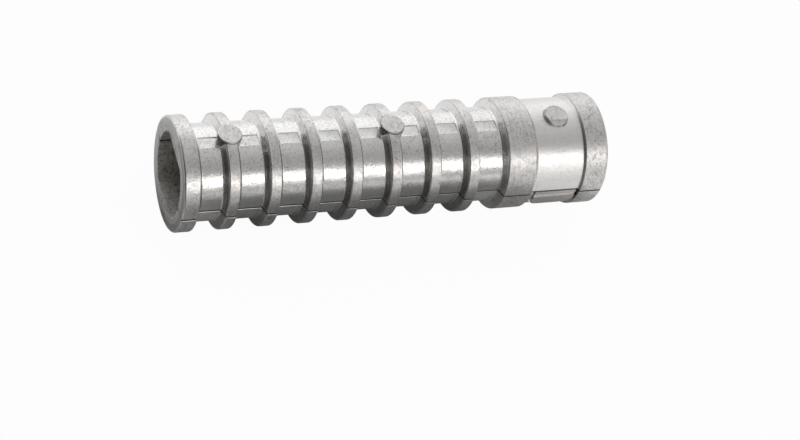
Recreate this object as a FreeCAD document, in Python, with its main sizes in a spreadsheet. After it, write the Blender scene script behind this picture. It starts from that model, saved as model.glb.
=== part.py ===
"""Long lag shield anchor: two ribbed zinc half shells that meet on a flat seam.

X runs from the tip to the mouth, where the screw enters, and the origin is the middle of the mouth's face.
Z is up, through the crest of the upper half. The seam lies in the XY plane. Sizes are in millimetres.
"""
import FreeCAD, Part
import os

import Sketcher

SIZES = {
    "outer_radius": 9.6,
    "body_radius": 8.05,
    "neck_radius": 9.0,
    "bore_radius": 6.95,
    "mouth_radius": 7.2,
    "mouth_depth": 32.0,
    "mouth_gap": 0.1,
    "tip_gap": 0.3,
    "ring_width": 2.6,
    "tip_bay": 4.9,
    "rib_count": 7,
    "rib_pitch": 6.96,
    "rib_land": 1.7,
    "collar_bay": 5.54,
    "flank_run": 0.6,
    "collar_land": 4.9,
    "neck_length": 9.4,
    "flange_flank_run": 0.15,
    "flange_width": 4.2,
    "root_round": 0.3,
    "land_round": 0.2,
    "end_round": 0.35,
    "neck_round": 0.2,
    "pad_diameter": 4.1,
    "near_pad": 8.5,
    "far_pad": 36.5,
    "boss_diameter": 3.9,
    "boss_setback": 8.5,
    "boss_draft": 20.0,
    "boss_crease": 1.1,
    "boss_slope": 32.0,
    "pad_root": 0.6,
    "band_width": 1.8,
    "band_depth": 0.17,
    "band_shift": 0.35,
    "band_near_run": 0.45,
    "band_far_run": 0.3,
    "wedge_rise": 1.1,
    "wedge_clear": 1.0,
    "thread_pitch": 4.233,
    "thread_margin": 5.0,
    "thread_step": 0.1,
    "thread_depth": 1.6,
    "thread_crest": 1.0,
    "thread_base": 2.6,
    "tongue_depth": 4.85,
    "tongue_relief": 0.05,
    "tongue_play": 0.3,
    "tongue_corner": 2.4,
    "tongue_swell": 0.3,
    "tongue_shoulder": 8.5,
    "tongue_lap": 1.2,
    "notch_setback": 0.45,
}

# Places along the anchor, measured from the tip.
FIRST_RIB = "sizes.ring_width + sizes.tip_bay"
LAST_RIB = f"{FIRST_RIB} + (sizes.rib_count - 1) * sizes.rib_pitch"
COLLAR_START = f"{LAST_RIB} + sizes.rib_land + sizes.collar_bay"
COLLAR_END = f"{COLLAR_START} + sizes.collar_land"
FLANGE_START = f"{COLLAR_END} + sizes.neck_length"
LENGTH = f"{FLANGE_START} + sizes.flange_width"
MOUTH_START = f"({LENGTH} - sizes.mouth_depth)"
WEDGE_END = f"({MOUTH_START} - sizes.wedge_clear)"
BOSS_MIDDLE = f"({LENGTH} - sizes.boss_setback)"
NOTCH_START = f"({COLLAR_END} + sizes.flank_run + sizes.notch_setback)"
TONGUE_RADIUS = "(sizes.neck_radius + sizes.tongue_swell)"
BEYOND = "2 * sizes.outer_radius"

doc = FreeCAD.newDocument("lag_shield")
sheet = doc.addObject("Spreadsheet::Sheet", "sizes")
for row, (alias, value) in enumerate(SIZES.items(), start=1):
    sheet.set(f"A{row}", alias)
    sheet.set(f"B{row}", str(value))
    sheet.setAlias(f"B{row}", alias)
doc.recompute()


def value(expression):
    """The number that an expression on the sheet comes to now."""
    result = sheet.evalExpression(str(expression))
    return float(getattr(result, "Value", result))


def origin_plane(body, role):
    return next(item for item in body.Origin.OriginFeatures if item.Role == role)


def new_sketch(body, name, plane, height="0"):
    """A sketch on one of the body's own planes, lifted along that plane's normal."""
    sketch = body.newObject("Sketcher::SketchObject", name)
    sketch.AttachmentSupport = [(origin_plane(body, plane), "")]
    sketch.MapMode = "FlatFace"
    if height != "0":
        sketch.setExpression("AttachmentOffset.Base.z", height)
    return sketch


def place_point(sketch, geometry, point, across, upward):
    """Ties one point of the sketch to two distances from the sketch's origin."""
    for kind, distance in (("DistanceX", across), ("DistanceY", upward)):
        index = sketch.addConstraint(Sketcher.Constraint(kind, -1, 1, geometry, point, value(distance)))
        sketch.setExpression(f"Constraints[{index}]", str(distance))


def add_outline(sketch, corners):
    """A closed outline of straight lines through corners given as pairs of expressions."""
    points = [FreeCAD.Vector(value(across), value(upward), 0) for across, upward in corners]
    first = sketch.GeometryCount
    count = len(points)
    for index, start in enumerate(points):
        sketch.addGeometry(Part.LineSegment(start, points[(index + 1) % count]))
    for index, (across, upward) in enumerate(corners):
        following = first + (index + 1) % count
        sketch.addConstraint(Sketcher.Constraint("Coincident", first + index, 2, following, 1))
        place_point(sketch, first + index, 1, across, upward)


def nearest_end(sketch, geometry, point):
    """Which end of a line or arc, 1 or 2, lies at a point."""
    return min((1, 2), key=lambda end: sketch.getPoint(geometry, end).distanceToPoint(point))


def add_tab(sketch, left, right, root, tip, radius):
    """The outline of a tab, square at its root and with two rounded corners at its tip."""
    back = "+" if value(root) > value(tip) else "-"
    shoulder = f"({tip} {back} {radius})"
    inner_left, inner_right = f"({left} + {radius})", f"({right} - {radius})"
    corners = [(left, root), (left, shoulder), (inner_left, tip),
               (inner_right, tip), (right, shoulder), (right, root)]
    arc_centres = {1: (inner_left, shoulder), 3: (inner_right, shoulder)}
    points = [FreeCAD.Vector(value(across), value(upward), 0) for across, upward in corners]
    count = len(points)
    edges = []
    for index, start in enumerate(points):
        end = points[(index + 1) % count]
        if index in arc_centres:
            centre = FreeCAD.Vector(*[value(part) for part in arc_centres[index]], 0)
            outward = ((start + end) * 0.5 - centre).normalize()
            edges.append(sketch.addGeometry(Part.Arc(start, centre + outward * value(radius), end)))
        else:
            edges.append(sketch.addGeometry(Part.LineSegment(start, end)))
    for index, (across, upward) in enumerate(corners):
        before, after = edges[index - 1], edges[index]
        ends = [(edge, nearest_end(sketch, edge, points[index])) for edge in (before, after)]
        sketch.addConstraint(Sketcher.Constraint("Coincident", *ends[0], *ends[1]))
        straight = ends[0] if index - 1 not in arc_centres else ends[1]
        place_point(sketch, *straight, across, upward)
    for index in arc_centres:
        constraint = sketch.addConstraint(Sketcher.Constraint("Radius", edges[index], value(radius)))
        sketch.setExpression(f"Constraints[{constraint}]", radius)


def add_circle(sketch, across, upward, radius):
    centre = FreeCAD.Vector(value(across), value(upward), 0)
    circle = sketch.addGeometry(Part.Circle(centre, FreeCAD.Vector(0, 0, 1), value(radius)))
    place_point(sketch, circle, 3, across, upward)
    index = sketch.addConstraint(Sketcher.Constraint("Radius", circle, value(radius)))
    sketch.setExpression(f"Constraints[{index}]", radius)


def box_corners(low_across, high_across, low_up, high_up):
    return [(low_across, low_up), (low_across, high_up), (high_across, high_up), (high_across, low_up)]


def feature(body, kind, name, sketch, **settings):
    """Adds a feature made from a sketch; text settings are expressions on the sheet."""
    before = 0 if body.Shape.isNull() else body.Shape.Volume
    made = body.newObject(f"PartDesign::{kind}", name)
    made.Profile = sketch
    for setting, content in settings.items():
        if isinstance(content, str) and "sizes." in content:
            made.setExpression(setting, content)
        else:
            setattr(made, setting, content)
    body.Tip = made
    doc.recompute()
    cuts = kind in ("Pocket", "Groove")
    if cuts != (made.Shape.Volume < before):
        raise RuntimeError(f"{name} works the wrong way")
    return made


def turned(body, kind, name, corners, angle):
    """A straight-sided profile turned about the anchor's axis, evenly each side of the crest."""
    sketch = new_sketch(body, f"{name}_profile", "XZ_Plane")
    add_outline(sketch, corners)
    return feature(body, kind, name, sketch, ReferenceAxis=(sketch, ["H_Axis"]), Midplane=True, Angle=angle)


def rounded(body, name, edges, radius):
    """Rounds the edges of the body's last feature that the test picks out."""
    base = body.Tip
    names = [f"Edge{index}" for index, edge in enumerate(base.Shape.Edges, start=1) if edges(edge)]
    if not names:
        raise RuntimeError(f"{name} finds no edge to round")
    made = body.newObject("PartDesign::Fillet", name)
    made.Base = (base, names)
    made.setExpression("Radius", radius)
    body.Tip = made
    doc.recompute()
    return made


def ring_edge(radius, low="0", high=LENGTH):
    """A test for round edges of one radius about the axis, between two places along it."""
    wanted, left, right = value(radius), value(low), value(high)
    slack = 1e-4

    def test(edge):
        curve = edge.Curve
        if not isinstance(curve, Part.Circle) or abs(curve.Radius - wanted) > slack:
            return False
        return left - slack < curve.Center.x < right + slack
    return test


def ribbed_half(name):
    """One half as cast, crest up and still without its bore."""
    body = doc.addObject("PartDesign::Body", name)
    outer, shaft, neck = "sizes.outer_radius", "sizes.body_radius", "sizes.neck_radius"
    flank = "sizes.flank_run"
    turned(body, "Revolution", f"{name}_blank", [
        ("0", "0"),
        ("0", outer),
        ("sizes.ring_width", outer),
        (f"sizes.ring_width + {flank}", shaft),
        (f"{COLLAR_START} - {flank}", shaft),
        (COLLAR_START, outer),
        (COLLAR_END, outer),
        (f"{COLLAR_END} + {flank}", neck),
        (f"{FLANGE_START} - sizes.flange_flank_run", neck),
        (FLANGE_START, outer),
        (LENGTH, outer),
        (LENGTH, "0"),
    ], 180)

    buried = f"{shaft} - sizes.root_round"
    rib = turned(body, "Revolution", f"{name}_rib", [
        (f"{FIRST_RIB} - {flank}", buried),
        (f"{FIRST_RIB} - {flank}", shaft),
        (FIRST_RIB, outer),
        (f"{FIRST_RIB} + sizes.rib_land", outer),
        (f"{FIRST_RIB} + sizes.rib_land + {flank}", shaft),
        (f"{FIRST_RIB} + sizes.rib_land + {flank}", buried),
    ], 180)
    ribs = body.newObject("PartDesign::LinearPattern", f"{name}_ribs")
    ribs.Originals = [rib]
    ribs.Direction = (rib.Profile[0], ["H_Axis"])
    ribs.setExpression("Length", "(sizes.rib_count - 1) * sizes.rib_pitch")
    ribs.setExpression("Occurrences", "sizes.rib_count")
    body.Tip = ribs
    doc.recompute()

    rounded(body, f"{name}_roots", ring_edge(shaft), "sizes.root_round")
    rounded(body, f"{name}_neck_roots", ring_edge(neck), "sizes.neck_round")
    inner_low, inner_high = "sizes.ring_width / 2", f"{LENGTH} - sizes.flange_width / 2"
    rounded(body, f"{name}_lands", ring_edge(outer, inner_low, inner_high), "sizes.land_round")
    rounded(body, f"{name}_ends", ring_edge(outer), "sizes.end_round")
    return body


def cut_seam(body):
    """Takes half of the seam's gap off the meeting face: the halves gape a little towards the tip."""
    past = "sizes.outer_radius"
    lean = f"((sizes.tip_gap - sizes.mouth_gap) / 2 / ({LENGTH}))"
    sketch = new_sketch(body, f"{body.Name}_seam_profile", "XZ_Plane")
    add_outline(sketch, [
        (f"-{past}", f"-{BEYOND}"),
        (f"-{past}", f"sizes.tip_gap / 2 + {past} * {lean}"),
        (f"{LENGTH} + {past}", f"sizes.mouth_gap / 2 - {past} * {lean}"),
        (f"{LENGTH} + {past}", f"-{BEYOND}"),
    ])
    feature(body, "Pocket", f"{body.Name}_seam", sketch, Length=f"2 * {BEYOND}", Midplane=True)


def cut_band(body):
    """The shallow flat-floored band with sloped edges along the crest, in the bays between the ribs only."""
    floor, top = "(sizes.body_radius - sizes.band_depth)", "sizes.outer_radius"
    steepness = f"(({top} - {floor}) / sizes.band_depth)"
    low = "(-sizes.band_width / 2 - sizes.band_shift)"
    high = "(sizes.band_width / 2 - sizes.band_shift)"
    clear = "(sizes.flank_run + sizes.root_round)"
    bays = [("sizes.ring_width", FIRST_RIB), (f"{LAST_RIB} + sizes.rib_land", COLLAR_START)]
    for index in range(int(value("sizes.rib_count")) - 1):
        start = f"{FIRST_RIB} + {index} * sizes.rib_pitch + sizes.rib_land"
        bays.append((start, f"{FIRST_RIB} + {index + 1} * sizes.rib_pitch"))
    for number, (start, end) in enumerate(bays, start=1):
        name = f"{body.Name}_band_{number}"
        sketch = new_sketch(body, f"{name}_profile", "YZ_Plane", f"{start} + {clear}")
        add_outline(sketch, [
            (f"{low} - sizes.band_near_run * {steepness}", top),
            (low, floor),
            (high, floor),
            (f"{high} + sizes.band_far_run * {steepness}", top),
        ])
        feature(body, "Pocket", name, sketch, Length=f"{end} - ({start}) - 2 * {clear}", Reversed=True)


def add_pads(body):
    """Two flat-topped round pads on the crest that end level with the ribs."""
    root = "sizes.body_radius - sizes.pad_root"
    sketch = new_sketch(body, f"{body.Name}_pad_profile", "XY_Plane", root)
    for place in ("sizes.near_pad", "sizes.far_pad"):
        add_circle(sketch, place, "0", "sizes.pad_diameter / 2")
    feature(body, "Pad", f"{body.Name}_pads", sketch, Length=f"sizes.outer_radius - ({root})")


def add_boss(body):
    """A drafted round boss on the neck, whose flat top slopes away past a crease on the near side."""
    root = "sizes.neck_radius - sizes.pad_root"
    height = f"(sizes.outer_radius - ({root}))"
    foot = f"(sizes.boss_diameter / 2 + {height} * tan(sizes.boss_draft * 1 deg))"
    middle = new_sketch(body, f"{body.Name}_boss_profile", "XY_Plane", root)
    add_circle(middle, BOSS_MIDDLE, "0", foot)
    feature(body, "Pad", f"{body.Name}_boss", middle, Length=height, TaperAngle="-sizes.boss_draft")

    side = new_sketch(body, f"{body.Name}_boss_slope_profile", "YZ_Plane", f"{BOSS_MIDDLE} - {foot}")
    crease, edge, top = "-sizes.boss_crease", f"-(sizes.boss_crease + {foot})", "sizes.outer_radius"
    drop = f"{foot} * tan(sizes.boss_slope * 1 deg)"
    add_outline(side, [(crease, top), (edge, top), (edge, f"{top} - {drop}")])
    feature(body, "Pocket", f"{body.Name}_boss_slope", side, Length=f"2 * {foot}", Reversed=True)


def add_tongues(body):
    """Two tongues that reach past the seam, one down each side of the neck."""
    left = f"({NOTCH_START} + sizes.tongue_play)"
    right = f"({FLANGE_START} - sizes.tongue_play)"
    lap, depth = "sizes.tongue_lap", "-sizes.tongue_depth"

    side = new_sketch(body, f"{body.Name}_tongue_profile", "XZ_Plane")
    add_tab(side, left, right, lap, depth, "sizes.tongue_corner")
    feature(body, "Pad", f"{body.Name}_tongue_block", side, Length=f"2 * {TONGUE_RADIUS}", Midplane=True)

    turned(body, "Groove", f"{body.Name}_tongue_outside",
           box_corners(left, right, TONGUE_RADIUS, BEYOND), 360)
    turned(body, "Groove", f"{body.Name}_tongue_shoulder",
           box_corners(left, right, "sizes.neck_radius", BEYOND), "180 + 2 * sizes.tongue_shoulder")

    inside = new_sketch(body, f"{body.Name}_tongue_inside_profile", "XY_Plane")
    half_width = "(sizes.mouth_radius + sizes.tongue_relief)"
    add_outline(inside, box_corners(NOTCH_START, FLANGE_START, f"-{half_width}", half_width))
    feature(body, "Pocket", f"{body.Name}_tongue_inside", inside, Length="2 * sizes.tongue_depth")


def cut_notches(body):
    """The openings in the other half that take the tongues, cut through both walls at once."""
    depth = "sizes.tongue_depth + sizes.tongue_play"
    side = new_sketch(body, f"{body.Name}_notch_profile", "XZ_Plane")
    add_tab(side, NOTCH_START, FLANGE_START, "-sizes.tongue_play", depth, "sizes.tongue_corner")
    feature(body, "Pocket", f"{body.Name}_notches", side, Length=BEYOND, Midplane=True)


def bore_core():
    """The shape of the bore: a plain round mouth, then a narrower stretch with a wedge above and below."""
    body = doc.addObject("PartDesign::Body", "bore_core")
    past = "sizes.thread_pitch"
    bore, mouth = "sizes.bore_radius", "sizes.mouth_radius"
    turned(body, "Revolution", "core_round", [
        (f"-{past}", "0"),
        (f"-{past}", bore),
        (f"{MOUTH_START} - ({mouth} - {bore})", bore),
        (MOUTH_START, mouth),
        (f"{LENGTH} + {past}", mouth),
        (f"{LENGTH} + {past}", "0"),
    ], 360)

    flats = new_sketch(body, "core_flats_profile", "XZ_Plane")
    start = f"(2 * {past})"
    for side in ("", "-"):
        add_outline(flats, [
            (f"-{start}", f"{side}({bore} - sizes.wedge_rise * (1 + {start} / {WEDGE_END}))"),
            (f"-{start}", f"{side}{BEYOND}"),
            (WEDGE_END, f"{side}{BEYOND}"),
            (WEDGE_END, f"{side}{bore}"),
        ])
    feature(body, "Pocket", "core_flats", flats, Length=BEYOND, Midplane=True)

    tooth = new_sketch(body, "core_thread_profile", "XZ_Plane")
    crest = f"({bore} - sizes.thread_step)"
    root = f"({crest} - sizes.thread_depth)"
    middle = "sizes.thread_margin"
    add_outline(tooth, [
        (f"{middle} - sizes.thread_base / 2", root),
        (f"{middle} - sizes.thread_crest / 2", crest),
        (f"{middle} + sizes.thread_crest / 2", crest),
        (f"{middle} + sizes.thread_base / 2", root),
    ])
    feature(body, "AdditiveHelix", "core_thread", tooth, ReferenceAxis=(tooth, ["H_Axis"]),
            Mode="pitch-height-angle", Pitch="sizes.thread_pitch",
            Height=f"{WEDGE_END} - 2 * sizes.thread_margin")
    return body


def finished_half(name, casting, core):
    """A casting with the bore taken out of it, moved so that the mouth's face is at the origin."""
    half = doc.addObject("Part::Cut", name)
    half.Label = name
    half.Base = casting
    half.Tool = core
    half.setExpression("Placement.Base.x", f"-({LENGTH})")
    return half


core = bore_core()

upper_casting = ribbed_half("upper_casting")
cut_seam(upper_casting)
cut_band(upper_casting)
add_tongues(upper_casting)
add_pads(upper_casting)
add_boss(upper_casting)

lower_casting = ribbed_half("lower_casting")
cut_seam(lower_casting)
cut_band(lower_casting)
cut_notches(lower_casting)
add_pads(lower_casting)
lower_casting.Placement = FreeCAD.Placement(FreeCAD.Vector(), FreeCAD.Rotation(FreeCAD.Vector(1, 0, 0), 180))

halves = [
    finished_half("upper_half", upper_casting, core),
    finished_half("lower_half", lower_casting, core),
]
doc.recompute()

for item in doc.Objects:
    if "Invalid" in item.State or "Error" in item.State:
        raise RuntimeError(f"{item.Name} failed")
os.makedirs("parts", exist_ok=True)
for half in halves:
    if half.Shape.isNull() or not half.Shape.isValid() or len(half.Shape.Solids) != 1:
        raise RuntimeError(f"{half.Label} isn't one valid solid")
    print(half.Label, round(half.Shape.Volume, 1), "mm3", half.Shape.BoundBox)
    half.Shape.exportStep(f"parts/{half.Label}.step")
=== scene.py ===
"""Looks of a long lag shield anchor: a split shell of cast zinc that a lag screw wedges apart in its hole.

Everything is in metres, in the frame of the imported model. X runs from the tip to the mouth, Z goes up through
the crest of the upper half, and the anchor lies on the two pads of the lower half.
"""
import math

import bmesh
import bpy
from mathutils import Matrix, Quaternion, Vector


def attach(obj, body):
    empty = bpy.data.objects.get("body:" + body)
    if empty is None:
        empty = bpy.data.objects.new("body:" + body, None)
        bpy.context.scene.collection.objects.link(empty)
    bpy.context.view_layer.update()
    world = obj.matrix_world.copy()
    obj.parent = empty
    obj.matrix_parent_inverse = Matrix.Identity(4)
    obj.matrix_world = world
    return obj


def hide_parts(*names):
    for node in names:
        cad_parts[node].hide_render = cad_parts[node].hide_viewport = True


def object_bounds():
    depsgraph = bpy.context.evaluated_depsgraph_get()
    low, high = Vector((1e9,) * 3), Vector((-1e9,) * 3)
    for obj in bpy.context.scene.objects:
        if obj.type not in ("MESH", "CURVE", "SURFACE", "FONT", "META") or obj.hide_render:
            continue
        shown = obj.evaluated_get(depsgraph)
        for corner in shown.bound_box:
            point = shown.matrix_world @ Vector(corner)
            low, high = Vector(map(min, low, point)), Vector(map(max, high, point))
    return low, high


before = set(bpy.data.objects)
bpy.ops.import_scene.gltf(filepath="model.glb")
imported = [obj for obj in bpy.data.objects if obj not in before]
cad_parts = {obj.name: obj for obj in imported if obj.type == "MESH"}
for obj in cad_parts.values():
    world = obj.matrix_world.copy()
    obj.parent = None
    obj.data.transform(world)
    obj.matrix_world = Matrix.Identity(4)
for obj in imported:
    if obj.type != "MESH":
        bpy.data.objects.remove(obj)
cad_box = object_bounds()

# The camera looks down on the anchor over its tip and the near side of its seam. It is turned about its own
# axis, so that the anchor lies almost level in the picture.
lens_mm = 91.445
nearest_seen = 0.01
camera_place = Vector((-0.16011, -0.19428, 0.25518))
aim = Vector((-0.03835, -0.01269, 0))
roll = math.radians(22.555)

camera = bpy.data.objects.new("camera", bpy.data.cameras.new("camera"))
camera.data.lens = lens_mm
camera.data.clip_start = nearest_seen
camera.location = camera_place
camera.rotation_mode = "QUATERNION"
camera.rotation_quaternion = (aim - camera_place).to_track_quat("-Z", "Y") @ Quaternion((0, 0, 1), roll)
bpy.context.collection.objects.link(camera)
bpy.context.scene.camera = camera
bpy.context.scene.view_settings.view_transform = "Standard"

# The room is dim on the camera's side and dark on the left. Behind the anchor hangs a white backdrop,
# brightest at its left. The metal mirrors it as a soft run from light to dark round each half shell.
pure_white = (1, 1, 1, 1)
room_dim = 0.42
room_side_gain = 0.26
room_side_span = (-0.5, 0.3)
backdrop_gain = 0.72
backdrop_span = (0.35, 0.85)
backdrop_fall = 0.4
backdrop_fall_span = (0.2, 0.6)
left_shade = 0.9
left_shade_span = (0.1, 0.5)
left_shade_end = (0.4, 0.7)


class Signal:
    """A socket of a shader tree. Python's operators on it add Math nodes."""

    def __init__(self, tree, socket):
        self.tree = tree
        self.socket = socket

    def node(self, kind, settings=None, links=None, out=0):
        """Adds a node with its settings made first, then values or signals on its sockets."""
        made = self.tree.nodes.new(kind)
        for name, setting in (settings or {}).items():
            setattr(made, name, setting)
        for name, content in (links or {}).items():
            if isinstance(content, Signal):
                self.tree.links.new(content.socket, made.inputs[name])
            else:
                made.inputs[name].default_value = content
        return Signal(self.tree, made.outputs[out])

    def maths(self, operation, *values):
        """Adds a Math node."""
        return self.node("ShaderNodeMath", {"operation": operation}, dict(enumerate(values)))

    def __add__(self, other):
        return self.maths("ADD", self, other)

    def __radd__(self, other):
        return self.maths("ADD", other, self)

    def __sub__(self, other):
        return self.maths("SUBTRACT", self, other)

    def __rsub__(self, other):
        return self.maths("SUBTRACT", other, self)

    def __mul__(self, other):
        return self.maths("MULTIPLY", self, other)

    def __rmul__(self, other):
        return self.maths("MULTIPLY", other, self)

    def rise(self, low, high):
        """0 below low, 1 above high and a smooth rise between them."""
        settings = {"interpolation_type": "SMOOTHSTEP"}
        return self.node("ShaderNodeMapRange", settings, {"Value": self, "From Min": low, "From Max": high})


def shader_tree(owner):
    """Empties the owner's shader tree, and returns a signal to start from and the output node."""
    owner.use_nodes = True
    tree = owner.node_tree
    tree.nodes.clear()
    world = isinstance(owner, bpy.types.World)
    output = tree.nodes.new("ShaderNodeOutputWorld" if world else "ShaderNodeOutputMaterial")
    return Signal(tree, None), output


room = bpy.data.worlds.new("room")
start, output = shader_tree(room)
direction = start.node("ShaderNodeTexCoord", out="Generated")
rightward = start.node("ShaderNodeSeparateXYZ", links={0: direction}, out="X")
backward = start.node("ShaderNodeSeparateXYZ", links={0: direction}, out="Y")
backdrop_glow = backdrop_gain * backward.rise(*backdrop_span) * (
    1 - backdrop_fall * rightward.rise(*backdrop_fall_span))
room_glow = room_dim + room_side_gain * backward.rise(*room_side_span) + backdrop_glow
shaded = (0 - rightward).rise(*left_shade_span) * (1 - backward.rise(*left_shade_end))
room_glow = room_glow * (1 - left_shade * shaded)
glow = start.node("ShaderNodeBackground", links={"Color": pure_white, "Strength": room_glow})
start.tree.links.new(glow.socket, output.inputs["Surface"])
bpy.context.scene.world = room

# A long softbox stands over the camera's right shoulder, a little warmer than the room. It gives the bright
# band along the near side of both the ribs and the bays.
softbox_aim = Vector((-0.0375, 0, 0))
softbox_direction = Vector((0.36, -0.82, 0.44)).normalized()
softbox_distance = 0.5
softbox_width = 0.6
softbox_height = 0.16
softbox_watts = 0.72
softbox_warmth = (1.0, 0.972, 0.94)
softbox = bpy.data.objects.new("softbox", bpy.data.lights.new("softbox", "AREA"))
softbox.data.shape = "RECTANGLE"
softbox.data.size = softbox_width
softbox.data.size_y = softbox_height
softbox.data.energy = softbox_watts
softbox.data.color = softbox_warmth
softbox.location = softbox_aim + softbox_direction * softbox_distance
softbox.rotation_mode = "QUATERNION"
softbox.rotation_quaternion = (-softbox_direction).to_track_quat("-Z", "Y")
softbox.visible_camera = False
bpy.context.collection.objects.link(softbox)

# The floor is a wide sheet of white paper. It shows white, with the anchor's own soft shadow on it. The shadow
# comes from the small share of lit paper that its glow leaves.
floor_half_width = 3.0
floor_sink = 0.00001
floor_white = (0.93, 0.93, 0.93, 1)
floor_glow = 0.96


def flat_sheet(name, low, high, height):
    """A level rectangle between two corners."""
    mesh = bpy.data.meshes.new(name)
    corners = [(low[0], low[1]), (high[0], low[1]), (high[0], high[1]), (low[0], high[1])]
    mesh.from_pydata([(x, y, height) for x, y in corners], [], [(0, 1, 2, 3)])
    sheet = bpy.data.objects.new(name, mesh)
    bpy.context.collection.objects.link(sheet)
    return sheet


floor_height = cad_box[0].z - floor_sink
floor = flat_sheet("floor", (-floor_half_width,) * 2, (floor_half_width,) * 2, floor_height)
paper = bpy.data.materials.new("white_paper")
start, output = shader_tree(paper)
lit_paper = start.node("ShaderNodeBsdfDiffuse", links={"Color": floor_white})
paper_glow = start.node("ShaderNodeEmission", links={"Color": pure_white, "Strength": 1.0})
seen = start.node("ShaderNodeLightPath", out="Is Camera Ray")
seen = seen + start.node("ShaderNodeLightPath", out="Is Glossy Ray")
seen = seen + start.node("ShaderNodeLightPath", out="Is Transmission Ray")
mixed = start.node("ShaderNodeMixShader", links={0: seen * floor_glow, 1: lit_paper, 2: paper_glow})
start.tree.links.new(mixed.socket, output.inputs["Surface"])
floor.data.materials.append(paper)

# A grey card lies in front of the anchor and half under it, darker in patches. Only the metal mirrors it: it is
# painted shadow, which keeps the paper's white out of the castings' lower edge. The patches near and under the
# anchor stand for its own shadow on the paper, and the far patch on the left is painted shade for the ribs'
# flanks to mirror. A patch is its low and high corner, the width of its fade and its grey, and a later patch
# lies on an earlier one.
card_low = (-0.4, -0.2)
card_high = (0.004, 0.02)
card_lift = 0.0001
card_light = (0.8, 0.8, 0.8, 1)
front_shadow_patch = ((-0.072, -0.06), (-0.006, 0.0), 0.016, (0.3, 0.3, 0.305, 1))
near_shadow_band = ((-0.08, -0.016), (-0.002, 0.005), 0.004, (0.62, 0.625, 0.635, 1))
rib_shadow_band = ((-0.0655, -0.018), (-0.0205, 0.007), 0.002, (0.38, 0.385, 0.39, 1))
left_shade_patch = ((-0.42, -0.22), (-0.1, -0.014), 0.012, (0.06, 0.06, 0.062, 1))
card = flat_sheet("shade_card", card_low, card_high, floor_height + card_lift)
card.visible_camera = False
card.visible_diffuse = False
card.visible_shadow = False
shadow_paint = bpy.data.materials.new("painted_shadow_card")
start, output = shader_tree(shadow_paint)
spot = start.node("ShaderNodeTexCoord", out="Object")
along = start.node("ShaderNodeSeparateXYZ", links={0: spot}, out="X")
outward = start.node("ShaderNodeSeparateXYZ", links={0: spot}, out="Y")


def inside(low, high, fade):
    """1 inside the rectangle between two corners, and a smooth fall to 0 outside it."""
    across = (along - low[0]).rise(-fade, fade) * (high[0] - along).rise(-fade, fade)
    return across * (outward - low[1]).rise(-fade, fade) * (high[1] - outward).rise(-fade, fade)


grey = card_light
for low, high, fade, shadow_grey in (front_shadow_patch, near_shadow_band, rib_shadow_band, left_shade_patch):
    grey = start.node("ShaderNodeMix", {"data_type": "RGBA"}, {
        0: inside(low, high, fade), 6: grey, 7: shadow_grey}, out=2)
dull = start.node("ShaderNodeBsdfDiffuse", links={"Color": grey})
start.tree.links.new(dull.socket, output.inputs["Surface"])
card.data.materials.append(shadow_paint)

# The two half shells are zinc castings, as they come from the die: bright in the bays, duller and speckled on
# the lands that the die and the tumbling rub, with painted shade and some grime round the pads, painted shade
# in the creases, and dark inside.
# The material's lengths are in millimetres.
zinc = (0.73, 0.725, 0.715, 1)
zinc_rubbed = (0.67, 0.665, 0.66, 1)
zinc_warm = (0.69, 0.635, 0.61, 1)
zinc_pit = (0.24, 0.225, 0.215, 1)
zinc_grime_and_shade = (0.17, 0.16, 0.15, 1)
zinc_bore = (0.74, 0.72, 0.69, 1)

# Where each region of a casting starts and where it is full: by radius, along the bore or across it.
outer_radius = 9.6
land_span = (9.15, 9.45)
bore_span = (7.28, 7.4)
mouth_start = (-19.5, -18)
neck_start = (-13.5, -13.0)
neck_end = (-4.4, -4.2)
neck_top = (9.4, 9.5)
flank_foot = (8.07, 8.18)
flank_top = (9.25, 9.4)
flank_end = (-19.3, -19.1)
front_side = (0.1, 1.0)

# Painted shade sits in a thin line round each pad, mixed there with grime, and round the boss's foot, on the
# ribs' front flanks, along the tongue's step and along the seam. A line is measured outwards from the rim. The
# seam's painted shade fades over the last part of its reach, and its edge is ragged.
pad_places = (-66.5, -38.5)
pad_radius = 2.05
pad_wall = (8.9, 9.25)
pad_shade_and_grime = 0.95
boss_place = -8.5
boss_foot = 2.15
boss_wall = (8.2, 8.4)
boss_shade = 0.75
line_inside = (-0.16, -0.05)
line_outside = (0.04, 0.22)
flank_shade = 0.6
flank_clearance = (0.0, 0.25)
tongue_step = -1.33
step_line = (0.1, 0.3)
step_shade = 0.1
least_grime_and_shade = 0.45
grime_and_shade_patches = (0.35, 0.6)
grime_and_shade_cover = 0.85
seam_shade_start = 0.7
seam_raggedness = 0.12

# How much of each stain shows, and between which levels of its noise. Where a share is a pair, its second
# number is added on the lands, or for the specks where the casting is dirty. The neck is cleaner than the rest.
neck_cleanness = 0.6
dirty_span = (0.42, 0.6)
warm_span = (0.45, 0.68)
warm_share = (0.15, 0.35)
blotch_span = (0.48, 0.72)
blotch_share = (0.14, 0.2)
streak_span = (0.5, 0.75)
streak_share = 0.4
streak_stretch = (3.2, 0.3)
grain_span = (0.5, 0.7)
grain_share = (0.32, 0.03)
pit_span = (0.57, 0.66)
pit_share = (0.25, 0.1)
dirty_pits = 0.2
more_pits = 0.03
more_land_pits = 0.01
speck_span = (0.6, 0.68)
speck_share = (0.2, 0.25)
bore_blotch_span = (0.4, 0.65)
bore_blotch_share = 0.3
bore_grain_span = (0.46, 0.62)
bore_grain_share = 0.45

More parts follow.
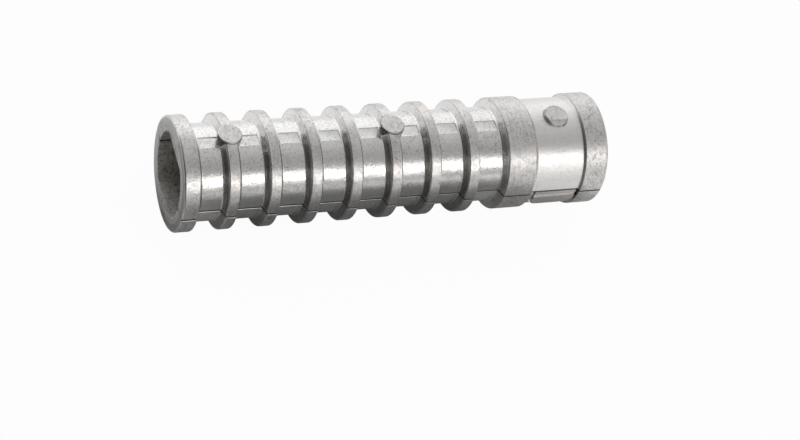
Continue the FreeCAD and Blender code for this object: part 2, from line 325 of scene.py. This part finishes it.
# How dull each region is, and how high each noise stands on it in millimetres.
noise_middle = 0.5
dullness_of_zinc = 0.23
land_dullness = 0.12
bore_dullness = 0.45
neck_dullness = 0.13
mouth_dullness = 0.06
gap_dullness = 0.3
grain_dullness = (0.2, 0.16)
blotch_dullness = 0.16
grain_height = 0.02
cloud_height = 0.05
blotch_height = (0.02, 0.02)
streak_height = 0.006
pit_depth = 0.006

# The neck's sides are flatter than a cylinder. Their normals lean towards the crest, over a stretch of girth.
neck_lean = 0.3
neck_lean_start = (7.6, 14.0)
neck_lean_end = (14.6, 17.0)

mm_per_metre = 1000.0


def cast_zinc(name, seed, seam_shade_reach):
    """The castings' material, with painted shade as far from the seam as the reach."""
    material = bpy.data.materials.new(name)
    start, output = shader_tree(material)
    spot = start.node("ShaderNodeTexCoord", out="Object")
    spot = start.node("ShaderNodeVectorMath", {"operation": "SCALE"}, {0: spot, "Scale": mm_per_metre})
    along, across, up = [start.node("ShaderNodeSeparateXYZ", links={0: spot}, out=axis) for axis in range(3)]
    radius = start.maths("SQRT", across * across + up * up)
    girth = outer_radius * start.maths("ARCTAN2", across, up)
    drawn_round = start.node("ShaderNodeCombineXYZ", links={
        0: along * streak_stretch[0], 1: girth * streak_stretch[1], 2: radius})

    def noise(per_mm, detail, roughness, shift, where=spot):
        settings = {"noise_dimensions": "4D"}
        links = {"Vector": where, "W": seed + shift, "Scale": per_mm, "Detail": detail, "Roughness": roughness}
        return start.node("ShaderNodeTexNoise", settings, links)

    def blend(factor, first, second):
        settings = {"data_type": "RGBA"}
        return start.node("ShaderNodeMix", settings, {0: factor, 6: first, 7: second}, out=2)

    land = radius.rise(*land_span)
    bore = 1 - radius.rise(*bore_span)
    mouth = along.rise(*mouth_start)
    neck = along.rise(*neck_start) * (1 - along.rise(*neck_end)) * (1 - radius.rise(*neck_top))
    flank = radius.rise(*flank_foot) * (1 - radius.rise(*flank_top)) * (1 - along.rise(*flank_end))

    def more_on_land(everywhere, more):
        return everywhere + more * land

    cloud = noise(per_mm=0.35, detail=3, roughness=0.6, shift=0.0)
    blotch = noise(per_mm=0.75, detail=4, roughness=0.65, shift=5.0)
    grain = noise(per_mm=2.4, detail=4, roughness=0.65, shift=3.0)
    streak = noise(per_mm=1.0, detail=3, roughness=0.6, shift=9.0, where=drawn_round)
    dirty = noise(per_mm=0.22, detail=2, roughness=0.5, shift=13.0).rise(*dirty_span)
    pits = noise(per_mm=2.8, detail=3, roughness=0.6, shift=7.0) + more_pits * dirty + more_land_pits * land
    pits = pits.rise(*pit_span)
    specks = noise(per_mm=4.2, detail=2, roughness=0.5, shift=17.0).rise(*speck_span)

    # Painted shade along the tongue's step on the neck.
    grime_and_shade = step_shade * neck * (1 - start.maths("ABSOLUTE", up - tongue_step).rise(*step_line))
    # Lines of painted shade round each pad's rim, mixed there with grime, and painted shade round the boss's
    # foot.
    clear_of_pads = 1.0
    rims = [(pad_place, pad_radius, pad_wall, pad_shade_and_grime) for pad_place in pad_places]
    for middle, rim, wall, share in [*rims, (boss_place, boss_foot, boss_wall, boss_shade)]:
        away = start.maths("SQRT", (along - middle) * (along - middle) + across * across) - rim
        line = away.rise(*line_inside) * (1 - away.rise(*line_outside))
        grime_and_shade = start.maths("MAXIMUM", grime_and_shade, share * line * start.maths("ABSOLUTE", up).rise(*wall))
        clear_of_pads = away.rise(*flank_clearance) * clear_of_pads
    grime_and_shade = grime_and_shade * (least_grime_and_shade + (1 - least_grime_and_shade) * blotch.rise(*grime_and_shade_patches))
    # Painted shade on the ribs' front flanks on the near side, clear of the pads.
    shaded_front_flank = flank * clear_of_pads * (0 - across).rise(*front_side)
    grime_and_shade = start.maths("MAXIMUM", grime_and_shade, flank_shade * shaded_front_flank)
    # Painted shade along the seam, where the halves meet: a band that fades towards its ragged edge.
    seam_shade = 1 - start.maths("ABSOLUTE", up).rise(
        seam_shade_start * seam_shade_reach, seam_shade_reach + seam_raggedness * blotch)

    stained = 1 - neck_cleanness * neck
    bore_mottle = bore_blotch_share * blotch.rise(*bore_blotch_span)
    bore_mottle = bore_mottle + bore_grain_share * grain.rise(*bore_grain_span)
    # Of the stains below, the last two paint shade: round the pads and the boss, on the front flanks, at the
    # tongue's step, and along the seam.
    colour = zinc
    for share, stain in (
            (land, zinc_rubbed),
            (cloud.rise(*warm_span) * more_on_land(*warm_share), zinc_warm),
            (blotch.rise(*blotch_span) * more_on_land(*blotch_share) * stained, zinc_pit),
            (streak.rise(*streak_span) * streak_share * land, zinc_pit),
            (grain.rise(*grain_span) * more_on_land(*grain_share) * stained, zinc_pit),
            (pits * (more_on_land(*pit_share) + dirty_pits * dirty) * stained, zinc_pit),
            (specks * (speck_share[0] + speck_share[1] * dirty) * stained, zinc_pit),
            (grime_and_shade.rise(0, 1) * grime_and_shade_cover, zinc_grime_and_shade),
            (bore, blend(bore_mottle, zinc_bore, zinc_pit)),
            (seam_shade, zinc_grime_and_shade)):
        colour = blend(share, colour, stain)

    dullness = dullness_of_zinc + land_dullness * land + bore_dullness * bore + neck_dullness * neck
    dullness = dullness + mouth_dullness * mouth * land + gap_dullness * seam_shade
    dullness = dullness + (grain - noise_middle) * more_on_land(*grain_dullness)
    dullness = dullness + (blotch - noise_middle) * blotch_dullness

    height = (grain - noise_middle) * grain_height + (cloud - noise_middle) * cloud_height
    height = height + (blotch - noise_middle) * more_on_land(*blotch_height)
    height = height + (streak - noise_middle) * streak_height * land - pits * pit_depth

    from_crest = start.maths("ABSOLUTE", girth)
    lean = neck_lean * neck * from_crest.rise(*neck_lean_start) * (1 - from_crest.rise(*neck_lean_end))
    lean = start.node("ShaderNodeCombineXYZ", links={2: lean})
    facing = start.node("ShaderNodeNewGeometry", out="Normal")
    facing = start.node("ShaderNodeVectorMath", {"operation": "ADD"}, {0: facing, 1: lean})
    facing = start.node("ShaderNodeVectorMath", {"operation": "NORMALIZE"}, {0: facing})
    bump = start.node("ShaderNodeBump", links={
        "Distance": 1 / mm_per_metre, "Height": height, "Normal": facing})
    skin = start.node("ShaderNodeBsdfPrincipled", links={
        "Base Color": colour, "Metallic": 1.0, "Roughness": dullness, "Normal": bump})
    start.tree.links.new(skin.socket, output.inputs["Surface"])
    return material


# A casting's edge is never sharp, so each half shell is a copy of its CAD node whose outer edge along the seam
# and whose pads' rims are rounded over. The tongues pass the seam, so the upper half keeps its shape there.
# Rows of edges are cut in at shares of a rounding's radius, and then moved in.
round_rows = (0.2, 0.45, 0.75, 1.0)
weld_distance = 1e-6
cut_distance = weld_distance / 10
rim_distance = weld_distance * 10

seam_round = 0.00015
mouth_gap = 0.0001
tip_gap = 0.0003
anchor_length = -cad_box[0].x
seam_lean = (tip_gap - mouth_gap) / 2 / anchor_length
inner_radius = 0.0076
tongue_reach = -0.001
steepest_wall = 0.9

pad_round = 0.00024
pad_margin = 0.0003
pad_depth = 0.002

neck_radius = 0.009
nick_reach = 0.0025
nick_side = (-0.0036, -0.0034)

crease = math.radians(35)
turned_limit = math.cos(math.radians(8))
turned_depth = 0.00002


def cut_row(shape, faces, place, facing):
    """Cuts a row of edges into some faces, along a plane."""
    edges = dict.fromkeys(edge for face in faces for edge in face.edges)
    corners = dict.fromkeys(vertex for face in faces for vertex in face.verts)
    bmesh.ops.bisect_plane(
        shape, geom=[*corners, *edges, *faces], dist=cut_distance, plane_co=place, plane_no=facing)


def quarter_round(radius, depth):
    """How far a rounded edge stands back at some depth below the face that it runs into."""
    left = min(max(radius - depth, 0), radius)
    return radius - math.sqrt(radius ** 2 - left ** 2)


def fill_nick(shape):
    """Fills the nick that the cut for the boss's slope leaves in CAD. The casting's neck is whole there."""
    for vertex in shape.verts:
        x, y, z = vertex.co
        beside = abs(x - boss_place / mm_per_metre) < nick_reach and nick_side[0] < y < nick_side[1]
        if beside and 0 < z and inner_radius < math.hypot(y, z) < neck_radius:
            vertex.co.z = math.sqrt(neck_radius ** 2 - y ** 2)
    bmesh.ops.remove_doubles(shape, verts=shape.verts, dist=weld_distance)


def round_seam(shape, side):
    """Rounds the outer edge along the seam over, but not where a tongue passes the seam."""
    for row in round_rows:
        place = (0, 0, side * (mouth_gap / 2 + row * seam_round))
        cut_row(shape, shape.faces[:], place, (seam_lean, 0, side))

    tongue = [vertex.co.x for vertex in shape.verts if side * vertex.co.z < tongue_reach]
    moves = {}
    for vertex in shape.verts:
        height = side * vertex.co.z + seam_lean * vertex.co.x - mouth_gap / 2
        inside_bore = math.hypot(vertex.co.y, vertex.co.z) <= inner_radius
        if inside_bore or abs(height - seam_round / 2) > seam_round / 2 + weld_distance:
            continue
        if tongue and min(tongue) - seam_round < vertex.co.x < max(tongue) + seam_round:
            continue
        walls = [face.normal * face.calc_area() for face in vertex.link_faces
                 if abs(face.normal.z) < steepest_wall]
        moves[vertex] = sum(walls, Vector()).normalized() * -quarter_round(seam_round, height)
    for vertex, move in moves.items():
        vertex.co += move


def round_pad(shape, middle, side):
    """Rounds the rim of one pad over."""
    top = cad_box[1].z
    rim = pad_radius / mm_per_metre

    def away(vertex):
        return math.hypot(vertex.co.x - middle, vertex.co.y)

    for row in round_rows:
        close = [vertex for vertex in shape.verts
                 if away(vertex) < rim + pad_margin and side * vertex.co.z > top - pad_depth]
        faces = dict.fromkeys(face for vertex in close for face in vertex.link_faces)
        cut_row(shape, faces, (0, 0, side * (top - row * pad_round)), (0, 0, side))
    for vertex in shape.verts:
        depth = top - side * vertex.co.z
        if depth < pad_round and abs(away(vertex) - rim) < rim_distance:
            inward = Vector((middle - vertex.co.x, -vertex.co.y, 0)).normalized()
            vertex.co += inward * quarter_round(pad_round, depth)


def shade_turned_faces(mesh):
    """Gives the faces that lie on a cylinder round the bore's axis the normals of a true cylinder."""
    normals = [normal.vector.copy() for normal in mesh.corner_normals]
    for face in mesh.polygons:
        spots = [Vector((0, *mesh.vertices[index].co.yz)) for index in face.vertices]
        depths = [spot.length for spot in spots]
        level = max(depths) - min(depths) < turned_depth
        if level and all(spot.normalized().dot(face.normal) > turned_limit for spot in spots):
            for corner, spot in zip(face.loop_indices, spots):
                normals[corner] = spot.normalized()
    mesh.normals_split_custom_set(normals)


def rounded_half(node, side):
    """A copy of a half shell with its edges rounded, side 1 above the seam and -1 below it."""
    shape = bmesh.new()
    shape.from_mesh(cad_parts[node].data)
    bmesh.ops.remove_doubles(shape, verts=shape.verts, dist=weld_distance)
    fill_nick(shape)
    round_seam(shape, side)
    for pad_place in pad_places:
        round_pad(shape, pad_place / mm_per_metre, side)

    shape.normal_update()
    for face in shape.faces:
        face.smooth = True
    for edge in shape.edges:
        edge.smooth = edge.calc_face_angle(0) < crease
    mesh = bpy.data.meshes.new(f"cast_{node}")
    shape.to_mesh(mesh)
    shape.free()

    piece = bpy.data.objects.new(f"cast_{node}", mesh)
    bpy.context.collection.objects.link(piece)
    evener = piece.modifiers.new("even_normals", "WEIGHTED_NORMAL")
    evener.keep_sharp = True
    evaluated = piece.evaluated_get(bpy.context.evaluated_depsgraph_get())
    piece.data = bpy.data.meshes.new_from_object(evaluated)
    piece.modifiers.clear()
    shade_turned_faces(piece.data)
    return piece


# The halves meet at the seam, where the upper one has the wider band of painted shade.
for node, side, body, slot, seam_shade_reach in (("upper_half", 1, "upper_shell", "cast_zinc_upper", 0.22),
                                            ("lower_half", -1, "lower_shell", "cast_zinc_lower", 0.15)):
    half = rounded_half(node, side)
    half.data.materials.clear()
    half.data.materials.append(cast_zinc(f"{node}_zinc", 10.0 * side, seam_shade_reach))
    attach(half, body)
    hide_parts(node)
